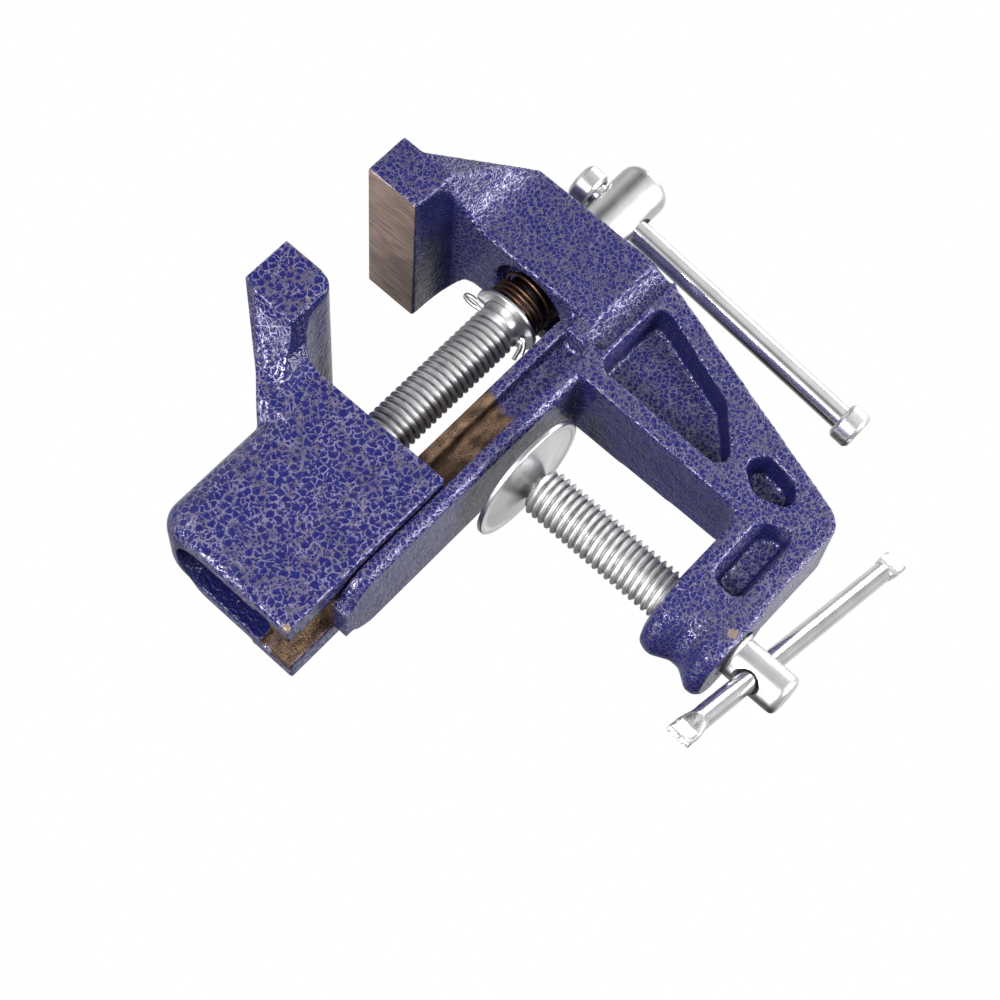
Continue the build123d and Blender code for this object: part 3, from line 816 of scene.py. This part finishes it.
def make_sliding_jaw(casting):
    """The moving casting: hollow body, neck and jaw."""
    chips = [((-74.5, -16.5, 5.5), 2.3), ((-12, -28.5, 58.6), 1.3)]
    coat = enamel("sliding_jaw_enamel", casting.jaw_cell / MM, 2.1, casting,
                  jaw_bare, jaw_ground, jaw_calm_painted_shade, chips)
    flats = [(0, SLIDING_FACE_X,
              lambda p: p.z > SLIDING_FACE_FOOT + 0.6 and p.x > SLIDING_FACE_X - 0.6)]
    piece = rounded_casting("sliding_jaw_body", "sliding_jaw", casting.jaw_grain, casting.passes, flats)
    squared_rear(piece)
    crisp_step(piece)
    dress(piece, "sliding_jaw", "casting_enamel", coat, "sliding_jaw", sharp=60)


class VISE_OT_castings(Operator):
    """Soft-edged castings in hammer enamel"""
    bl_idname = "vise.castings"
    bl_label = "Castings"

    def execute(self, context):
        casting = context.scene.vise_castings
        make_frame(casting)
        make_sliding_jaw(casting)
        return {"FINISHED"}


class VISE_OT_spindle(Operator):
    """Threaded spindle with its drilled head"""
    bl_idname = "vise.spindle"
    bl_label = "Spindle"

    def execute(self, context):
        screws = context.scene.vise_screws
        piece = threaded("spindle_thread", SPINDLE_CENTRE, AHEAD, SPINDLE_END, THREAD_STOP, screws)
        # tint lightens this thread's plating: painted light
        coat = turned_steel("thread_plating", screws, SPINDLE_CENTRE, AHEAD, tint=1.05, rough=0.28,
                            dark=(5.5, 6.2))
        dress(piece, "spindle", "plated_screw", coat)

        core_r, shank_r, head_r = 5.2, 6.5, 7.45
        outline = [(THREAD_STOP - 1.0, 0, 0), (THREAD_STOP - 1.0, core_r, 0),
                   (THREAD_STOP, shank_r - 0.2, 0.2), (THREAD_STOP + 0.2, shank_r, 0),
                   (HEAD_REAR + 0.1, shank_r, 0), (HEAD_REAR + 0.1, head_r, 0.5),
                   (HEAD_END, head_r, 3.2), (HEAD_END, 0, 0)]
        piece = turned("spindle_head", outline, SPINDLE_CENTRE, AHEAD)
        handle_bore = cross_bore((6.2, 3.75), (6.9, 4.3), (DRILL_REACH, 8.3))
        drill(piece, handle_bore, HANDLE_CENTRE, HANDLE_AXIS)
        drill(piece, cross_bore((DRILL_REACH, 1.25)), (PIN_X, 0, SCREW_Z), UP, 24)
        # The shank is painted dark as a painted reflection, and tint darkens this piece: painted shade.
        coat = turned_steel("spindle_head_plating", screws, SPINDLE_CENTRE, AHEAD, lines=1.5,
                            tint=0.9, dark_reflection_span=(30.4, HEAD_REAR - 1))
        dress(piece, "spindle", "plated_screw", coat, "main_screw")
        return {"FINISHED"}


def coil_path(spring):
    """The middle of the spring's wire: close turns at the washer, then open ones into the head."""
    steps = 48  # points on each turn
    radius = spring.diameter / MM / 2
    thick = spring.wire / MM / 2
    pitch = spring.close_pitch / MM
    low, high = box_mm("spindle_spring")
    start = low.x + thick
    end = high.x - thick
    open_pitch = (end - start - spring.close_turns * pitch) / spring.open_turns
    total = spring.close_turns + spring.open_turns
    path = []
    for k in range(total * steps + 1):
        turn = k / steps
        along = start + min(turn, spring.close_turns) * pitch
        along += max(turn - spring.close_turns, 0) * open_pitch
        angle = 2 * pi * turn
        path.append(Vector((along, radius * sin(angle), SCREW_Z + radius * cos(angle))))
    return path


def make_spring(spring):
    """Spring round the spindle's shank."""
    piece = wire("spring_coil", coil_path(spring), spring.wire / MM / 2, 16)
    dress(piece, "spindle", "spring_wire", spring_steel("spring_brown", spring), "spindle_spring")


def make_washer(screws):
    """Washer between the split pin and the spring."""
    low, high = box_mm("spindle_washer")
    inner, middle, outer = 6.7, 8, high.z - SCREW_Z
    outline = [(low.x, middle, 0), (low.x, outer - 0.1, 0.3), (low.x + 0.5, outer, 0.2),
               (high.x, outer - 0.1, 0.3), (high.x, inner, 0.2), (low.x, inner, 0.2),
               (low.x, middle, 0)]
    piece = turned("washer_plate", outline, SPINDLE_CENTRE, AHEAD, closed=True)
    coat = turned_steel("washer_plating", screws, SPINDLE_CENTRE, AHEAD, lines=2.0)
    dress(piece, "spindle", "plated_screw", coat, "spindle_washer")


def make_pin(spring, screws):
    """Split pin: one wire bent into an eye above the spindle, its two ends spread below."""
    x = PIN_X
    top = box_mm("split_pin")[1].z - 0.6
    points = [(22.9, 1.0, 19.9), (24.6, 0.6, 20.3), (26.5, 0.1, 20.9), (x - 0.55, 0, 22.4),
              (x - 0.55, 0, SCREW_Z), (x - 0.58, 0, 35.8), (x - 0.78, 0, 37.8), (x - 0.75, 0, 39.8),
              (x - 0.4, 0, top - 0.2), (x, 0, top), (x + 0.4, 0, top - 0.2), (x + 0.75, 0, 39.8),
              (x + 0.78, 0, 37.8), (x + 0.58, 0, 35.8), (x + 0.55, 0, SCREW_Z), (x + 0.5, 0, 22.0),
              (x - 0.1, 0.3, 20.6), (x - 1.2, 1.0, 19.9), (x - 2.2, 1.6, 19.6)]
    piece = wire("pin_wire", smooth_path(points), spring.pin_wire / MM / 2)
    # tint darkens the pin's plating: painted shade
    coat = drawn_steel("pin_plating", screws, UP, tint=0.8, rough=0.3)
    dress(piece, "spindle", "plated_screw", coat, "split_pin")


class VISE_OT_spring(Operator):
    """Spring, washer and split pin on the spindle"""
    bl_idname = "vise.spring"
    bl_label = "Spring and Washer"

    def execute(self, context):
        spring = context.scene.vise_spring
        screws = context.scene.vise_screws
        make_spring(spring)
        make_washer(screws)
        make_pin(spring, screws)
        return {"FINISHED"}


def make_knob(handle, screws, name, node, inner, way):
    """A cap on one end of the handle; way is 1 at the upper end and -1 at the lower one."""
    rod_r = handle.diameter / MM / 2
    knob_r = handle.knob / MM / 2
    size = handle.knob_length / MM
    bevel = handle.bevel / MM
    outline = [(0.6, rod_r, 0), (0, rod_r + 0.3, 0.15), (0, knob_r - bevel, 0.3),
               (bevel, knob_r, 0.3), (size - bevel, knob_r, 0.3), (size, knob_r - bevel, 0.4),
               (size, 0, 0)]
    axis = HANDLE_AXIS * way
    origin = Vector(HANDLE_CENTRE) + HANDLE_AXIS * inner
    piece = turned(name, outline, origin, axis, 72)
    coat = turned_steel(name + "_plating", screws, tuple(origin), axis, lines=1.2)
    dress(piece, "spindle_handle", "plated_bar", coat, node)


class VISE_OT_handle(Operator):
    """Sliding handle with its end caps"""
    bl_idname = "vise.handle"
    bl_label = "Handle"

    def execute(self, context):
        handle = context.scene.vise_handle
        screws = context.scene.vise_screws
        rod_r = handle.diameter / MM / 2
        low, high = HANDLE_LOWER - HANDLE_STUB, HANDLE_UPPER + HANDLE_STUB
        outline = [(low, 0, 0), (low, rod_r, 0.3), (high, rod_r, 0.3), (high, 0, 0)]
        piece = turned("handle_bar", outline, HANDLE_CENTRE, HANDLE_AXIS, 64)
        coat = drawn_steel("handle_plating", screws, HANDLE_AXIS)
        dress(piece, "spindle_handle", "plated_bar", coat, "handle_rod")
        make_knob(handle, screws, "knob_upper", "handle_knob_upper", HANDLE_UPPER, 1)
        make_knob(handle, screws, "knob_lower", "handle_knob_lower", HANDLE_LOWER, -1)
        return {"FINISHED"}


def make_clamp_screw(screws):
    """Clamp screw: thread, drilled head, and the spigot that carries the pad."""
    piece = threaded("clamp_thread", ORIGIN, UP, CLAMP_HEAD_TOP, SCREW_TOP, screws)
    # tint lightens this thread's plating: painted light
    coat = turned_steel("clamp_thread_plating", screws, ORIGIN, UP, tint=1.15, rough=0.32,
                        dark=(5.5, 6.1))
    dress(piece, "clamp_screw", "plated_screw", coat)

    head_r = 5.7
    outline = [(CLAMP_HEAD_END, 0, 0), (CLAMP_HEAD_END, head_r, 1.9),
               (CLAMP_HEAD_TOP + 0.2, head_r, 0), (CLAMP_HEAD_TOP + 0.2, 0, 0)]
    piece = turned("clamp_head", outline, ORIGIN, UP)
    bar_bore = cross_bore((4.7, 3.15), (5.3, 3.6), (DRILL_REACH, 9.0))
    drill(piece, bar_bore, BAR_CENTRE, BAR_AXIS)
    coat = turned_steel("clamp_head_plating", screws, ORIGIN, UP, lines=1.5)
    dress(piece, "clamp_screw", "plated_screw", coat)

    foot = SCREW_TOP - 0.2
    outline = [(foot, 0, 0), (foot, SPIGOT_RADIUS, 0), (SPIGOT_TOP, SPIGOT_RADIUS, 0.3),
               (SPIGOT_TOP, 0, 0)]
    piece = turned("clamp_spigot", outline, ORIGIN, UP, 48)
    coat = turned_steel("clamp_spigot_plating", screws, ORIGIN, UP)
    dress(piece, "clamp_screw", "plated_screw", coat, "clamp_screw")


def make_pad(clamp, screws):
    """Round pad: a dished disc with a neck round the clamp screw's spigot."""
    top = box_mm("clamp_pad")[1].z
    pad_r = clamp.pad / MM / 2
    rim = top - clamp.pad_rim / MM
    foot = SCREW_TOP + 0.3
    outline = [(top, 0, 0), (top, pad_r, 0.4), (rim, pad_r, 0.4), (rim, pad_r - 1.4, 0.3),
               (rim + 0.25, pad_r - 2.2, 0.5), (rim - 0.8, 8.4, 1.5), (rim - 1.6, 5.4, 1.2),
               (foot + 0.6, 3.7, 0.5), (foot, 3.55, 0.2), (foot, SPIGOT_RADIUS + 0.2, 0.1),
               (foot + 0.8, SPIGOT_RADIUS + 0.05, 0), (foot + 0.8, 0, 0)]
    piece = turned("pad_disc", outline, ORIGIN, UP, 128)
    # tint lightens the pad's plating: painted light
    coat = turned_steel("pad_plating", screws, ORIGIN, UP, tint=1.1, rough=0.2)
    dress(piece, "clamp_pad", "plated_pad", coat, "clamp_pad")


def bar_ring(clamp, mark):
    """The clamp bar's section at a mark along it: round, and a dented oblong towards the ends."""
    columns = 48
    full_flat = 4.2  # length of each end that is wholly flat
    fade = 5.3  # and of the change from there to round
    bar_r = clamp.bar / MM / 2
    flat_way = Vector((-sin(BAR_TURN), cos(BAR_TURN), 0))
    wide_way = BAR_AXIS.cross(flat_way)
    out = min(mark - BAR_NEAR, BAR_FAR - mark)
    flat = 1 - max(0, min(1, (out - full_flat) / fade))
    flat = flat * flat * (3 - 2 * flat)
    half_thick = bar_r + (clamp.spade_thickness / MM / 2 - bar_r) * flat
    half_wide = bar_r + (clamp.spade / MM / 2 - bar_r) * flat
    edge = 0.25 if out < 0.01 else 0
    power = 2 + 2.6 * flat
    ring = []
    for k in range(columns):
        angle = 2 * pi * k / columns
        c, d = cos(angle), sin(angle)
        size = (abs(c) ** power + abs(d) ** power) ** (-1 / power)
        dent = flat * noise.noise(Vector((mark * 0.35, k * 0.4, 3.1))) * 0.16
        thick = size * c * (half_thick - edge + dent - 0.1 * flat)
        wide = size * d * (half_wide - edge + dent - 0.15 * flat)
        ring.append(BAR_CENTRE + BAR_AXIS * mark + flat_way * thick + wide_way * wide)
    return ring


def make_clamp_bar(clamp, screws):
    """Bar through the clamp screw's head, hammered flat at both ends."""
    bevel = 0.25
    step = 0.5  # between the sections of the two ends
    count = 22
    near_marks = [BAR_NEAR + step + k * step for k in range(count)]
    far_marks = [BAR_FAR - count * step + k * step for k in range(count)]
    marks = [BAR_NEAR, BAR_NEAR + bevel, *near_marks, BAR_NEAR + 14, 0, 60,
             *far_marks, BAR_FAR - bevel, BAR_FAR]
    rings = [bar_ring(clamp, mark) for mark in marks]
    tips = [[BAR_CENTRE + BAR_AXIS * mark] for mark in (BAR_NEAR, BAR_FAR)]
    piece = skin("clamp_lever", [tips[0]] + rings + [tips[1]])
    flat_length = 9.5
    coat = drawn_steel("clamp_bar_plating", screws, BAR_AXIS,
                       hammered=(BAR_CENTRE, BAR_NEAR + flat_length, BAR_FAR - flat_length))
    dress(piece, "clamp_bar", "plated_bar", coat, "clamp_bar")


class VISE_OT_clamp(Operator):
    """Clamp screw, swivel pad and clamp bar"""
    bl_idname = "vise.clamp"
    bl_label = "Table Clamp"

    def execute(self, context):
        clamp = context.scene.vise_clamp
        screws = context.scene.vise_screws
        make_clamp_screw(screws)
        make_pad(clamp, screws)
        make_clamp_bar(clamp, screws)
        return {"FINISHED"}


# ---- stage ----
CENTRE = Vector((-5.2, 11.1, -1.6)) * MM  # middle of the part
CAMERA_PLACE = Vector((-190.618, -507.096, -133.724)) * MM  # the photograph's viewpoint
CAMERA_AHEAD = Vector((0.32755064, 0.91556064, 0.23336517))
CAMERA_UP = Vector((0.66425525, -0.39879409, 0.63224065))
CAMERA_RIGHT = CAMERA_AHEAD.cross(CAMERA_UP)
ROOM_LIGHT = 0.46
ROOM_DARKEST = 0.02
# Lights and dark places of the room. Each is the photograph's right, up and towards the viewer,
# the cosines where it begins and where it is full, and how much light it adds or takes away.
ROOM_LOBES = [
    (0.75, 0.30, 0.60, 0.60, 0.95, 0.80),
    (-0.50, 0.15, 0.85, 0.86, 0.98, 0.85),
    (-0.55, 0.82, 0.10, 0.80, 0.97, 0.60),
    (-0.89, -0.40, 0.20, 0.955, 0.995, 9.0),
    (0.25, -0.20, -0.95, 0.20, 0.80, 0.60),
    (-0.35, -0.60, -0.70, 0.50, 0.95, -0.65),
    (-0.12, 0.85, 0.50, 0.82, 0.97, -0.36),
    (0.0, 0.10, 1.0, 0.93, 0.99, -0.30),
    (0.79, -0.50, -0.35, 0.86, 0.97, -0.45),
    (0.05, -0.78, -0.62, 0.82, 0.94, -0.45),
]


def seen_way(right, up, near):
    """A direction given by the photograph's own right, up and towards the viewer."""
    return (CAMERA_RIGHT * right + CAMERA_UP * up - CAMERA_AHEAD * near).normalized()


def soft_light(name, way, distance, size, power):
    """A square soft light that shines on the middle of the part."""
    data = bpy.data.lights.new(name, "AREA")
    data.shape = "SQUARE"
    data.size = size
    data.energy = power
    light = bpy.data.objects.new(name, data)
    bpy.context.scene.collection.objects.link(light)
    light.location = CENTRE + way * distance
    light.rotation_euler = (-way).to_track_quat("-Z", "Y").to_euler()
    light.visible_camera = False


def make_floor(stage):
    """Pale floor far below the part, which doesn't light it or show in its metal."""
    half_width = 3000
    bm = bmesh.new()
    bmesh.ops.create_grid(bm, x_segments=24, y_segments=24, size=half_width)
    bmesh.ops.translate(bm, verts=bm.verts, vec=(0, 0, -stage.floor_drop / MM))
    floor = link_mesh("floor", bm)
    floor.data.materials.append(floor_paint("floor_paint", stage))
    floor.visible_glossy = False
    floor.visible_diffuse = False


def make_camera(scene, stage):
    """The photograph's own view of the part."""
    data = bpy.data.cameras.new("camera")
    data.sensor_width = 36
    data.lens = stage.lens
    data.clip_start = 0.01
    camera = bpy.data.objects.new("camera", data)
    scene.collection.objects.link(camera)
    turn = Matrix((CAMERA_RIGHT, CAMERA_UP, -CAMERA_AHEAD)).transposed().to_4x4()
    camera.matrix_world = Matrix.Translation(CAMERA_PLACE) @ turn
    scene.camera = camera
    scene.view_settings.view_transform = "Standard"


def make_room(scene, stage):
    """Surround that lights the part and shows in its metal; the camera itself sees white."""
    world = bpy.data.worlds.new("room")
    world.use_nodes = True
    scene.world = world
    s = Shader(world.node_tree)
    way = s.node("ShaderNodeTexCoord", out="Generated")
    shade = ROOM_LIGHT
    for right, up, near, begins, full, amount in ROOM_LOBES:
        shade = s.part_of(way, seen_way(right, up, near)).rise(begins, full) * amount + shade
    shade = shade.most(ROOM_DARKEST) * stage.ambient
    seen = s.node("ShaderNodeLightPath", out="Is Camera Ray")
    white = s.mix(s.joined(shade, shade, shade), (1.0, 1.0, 1.0), seen)
    room = s.node("ShaderNodeBackground", None, {"Color": white, "Strength": 1.0})
    s.node("ShaderNodeOutputWorld", None, {"Surface": room}, out=None)


class VISE_OT_stage(Operator):
    """Pale floor, soft lights and the photograph's viewing angle"""
    bl_idname = "vise.stage"
    bl_label = "Stage"

    def execute(self, context):
        scene = context.scene
        stage = scene.vise_stage
        make_floor(stage)
        make_camera(scene, stage)
        soft_light("key_light", seen_way(0.90, -0.09, 0.37), 0.75, 0.46, stage.key)
        soft_light("fill_light", seen_way(-0.50, -0.08, 0.86), 0.8, 0.25, stage.fill)
        soft_light("rim_light", seen_way(0.62, 0.74, -0.25), 0.8, 0.36, stage.rim)
        make_room(scene, stage)
        return {"FINISHED"}


class VISE_PT_panel(Panel):
    """Steps that dress the vise"""
    bl_idname = "VISE_PT_panel"
    bl_label = "Table Vise"
    bl_space_type = "VIEW_3D"
    bl_region_type = "UI"
    bl_category = "Table Vise"

    def draw(self, context):
        for name, group in GROUPS.items():
            box = self.layout.box()
            for prop in group.__annotations__:
                box.prop(getattr(context.scene, name), prop)
        for step in STEPS:
            self.layout.operator(step.bl_idname)


STEPS = [VISE_OT_castings, VISE_OT_spindle, VISE_OT_spring, VISE_OT_handle, VISE_OT_clamp,
         VISE_OT_stage]


def register():
    for group in GROUPS.values():
        bpy.utils.register_class(group)
    for name, group in GROUPS.items():
        setattr(bpy.types.Scene, name, PointerProperty(type=group))
    for step in STEPS:
        bpy.utils.register_class(step)
    bpy.utils.register_class(VISE_PT_panel)


def unregister():
    bpy.utils.unregister_class(VISE_PT_panel)
    for step in reversed(STEPS):
        bpy.utils.unregister_class(step)
    for name, group in GROUPS.items():
        delattr(bpy.types.Scene, name)
        bpy.utils.unregister_class(group)


def main():
    register()
    for step in STEPS:
        group, name = step.bl_idname.split(".")
        getattr(getattr(bpy.ops, group), name)()


if __name__ == "__main__":
    main()
